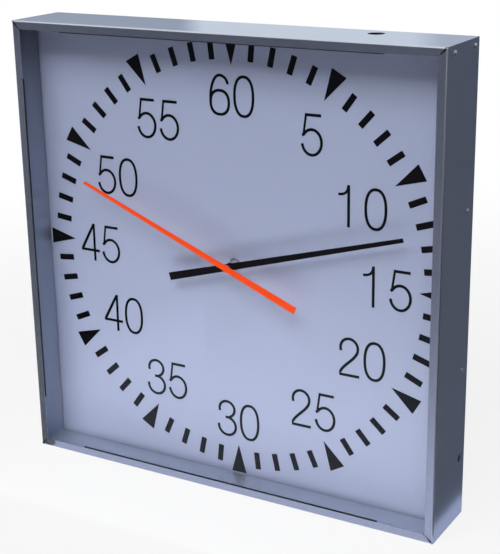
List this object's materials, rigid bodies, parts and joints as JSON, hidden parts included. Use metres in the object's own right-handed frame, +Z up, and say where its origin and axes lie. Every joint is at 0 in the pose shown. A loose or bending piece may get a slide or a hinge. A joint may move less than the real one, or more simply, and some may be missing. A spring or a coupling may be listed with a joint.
{
  "type": "pace clock",
  "caption": "Square wall-mounted pace clock: folded sheet case with a clear window, seconds dial, minute hand, sweep second hand and a geared stepping movement behind the dial.",
  "frame": {"origin": "centre of the case's bottom face, midway between the front flange and the back panel", "axes": "+Z up, -Y out of the dial towards the viewer, +X to the viewer's right"},
  "size_m": [0.6036, 0.095, 0.6],
  "materials": {
    "case_paint": "semi-gloss silver-grey paint on folded sheet",
    "plain_steel": "plain zinc-coated sheet",
    "bright_screws": "bright zinc-plated screws",
    "bright_steel": "turned bright steel",
    "clear_window": "clear flat window",
    "black_rubber": "matt black sealing strip",
    "dial_paint": "smooth pale lilac-grey dial paint",
    "dial_print": "black screen print",
    "orange_paint": "fluorescent orange paint",
    "black_paint": "satin black paint",
    "movement_brass": "stamped and turned brass",
    "nickel": "nickel-plated nut",
    "white_plastic": "moulded off-white plastic",
    "black_plastic": "moulded black plastic",
    "rotor_magnet": "dark ferrite magnet",
    "copper_wire": "enamelled copper winding",
    "green_board": "green lacquered circuit board",
    "red_insulation": "red lead insulation"
  },
  "bodies": {
    "case": {"case_top": "case_paint", "case_bottom": "case_paint", "case_left": "case_paint", "case_right": "case_paint", "corner_brackets": "plain_steel", "back_panel": "case_paint", "top_screws": "bright_screws", "back_screws": "bright_screws", "window_pane": "clear_window", "window_seals": "black_rubber", "reveal_top": "case_paint", "reveal_bottom": "case_paint", "reveal_left": "case_paint", "reveal_right": "case_paint", "dial_plate": "dial_paint", "dial_rails": "plain_steel", "second_marks": "dial_print", "five_second_marks": "dial_print", "dial_numerals": "dial_print", "stiffening_plate": "plain_steel", "movement_spacers": "bright_steel", "front_plate": "movement_brass", "back_plate": "movement_brass", "plate_pillars": "bright_steel", "movement_screws": "bright_screws", "movement_cover": "black_plastic", "centre_bush": "movement_brass", "bush_washer": "bright_steel", "bush_nut": "nickel", "stator": "plain_steel", "stator_posts": "bright_steel", "coil_bobbin": "white_plastic", "coil_winding": "copper_wire", "control_board": "green_board", "board_parts": "black_plastic", "terminal_block": "white_plastic", "board_screws": "bright_screws", "motor_leads": "red_insulation"},
    "second": {"second_arbor": "bright_steel", "second_pinion": "movement_brass", "second_wheel": "movement_brass", "second_hub": "orange_paint", "second_hand": "orange_paint"},
    "minute": {"minute_pipe": "movement_brass", "minute_wheel": "movement_brass", "minute_hub": "black_paint", "minute_hand": "black_paint"},
    "third": {"third_arbor": "bright_steel", "third_wheel": "movement_brass", "third_pinion": "bright_steel"},
    "step": {"step_arbor": "bright_steel", "step_wheel": "white_plastic", "step_pinion": "white_plastic"},
    "rotor": {"rotor_arbor": "bright_steel", "rotor_magnet": "rotor_magnet", "rotor_pinion": "white_plastic"},
    "setting": {"setting_arbor": "bright_steel", "setting_pinion": "white_plastic", "setting_knob": "black_plastic"}
  },
  "joints": [
    {"name": "second_spin", "type": "hinge", "parent": "case", "child": "second", "pos_m": [0, 0.0005, 0.3], "axis": [0, 1, 0], "continuous": true},
    {"name": "minute_spin", "type": "hinge", "parent": "case", "child": "minute", "pos_m": [0, 0.0005, 0.3], "axis": [0, 1, 0], "continuous": true},
    {"name": "third_spin", "type": "hinge", "parent": "case", "child": "third", "pos_m": [0.027, 0.0005, 0.3], "axis": [0, 1, 0], "continuous": true},
    {"name": "step_spin", "type": "hinge", "parent": "case", "child": "step", "pos_m": [-0.02608, 0.0005, 0.3], "axis": [0, 1, 0], "continuous": true},
    {"name": "rotor_spin", "type": "hinge", "parent": "case", "child": "rotor", "pos_m": [-0.03358, 0.0005, 0.31299], "axis": [0, 1, 0], "continuous": true},
    {"name": "setting_spin", "type": "hinge", "parent": "case", "child": "setting", "pos_m": [0, 0.0005, 0.27], "axis": [0, 1, 0], "continuous": true}
  ],
  "couplings": [
    {"joint": "minute_spin", "follows": "second_spin", "ratio": 0.016667},
    {"joint": "third_spin", "follows": "second_spin", "ratio": -0.13333},
    {"joint": "step_spin", "follows": "second_spin", "ratio": -6},
    {"joint": "rotor_spin", "follows": "second_spin", "ratio": 30},
    {"joint": "setting_spin", "follows": "second_spin", "ratio": -0.066667}
  ]
}
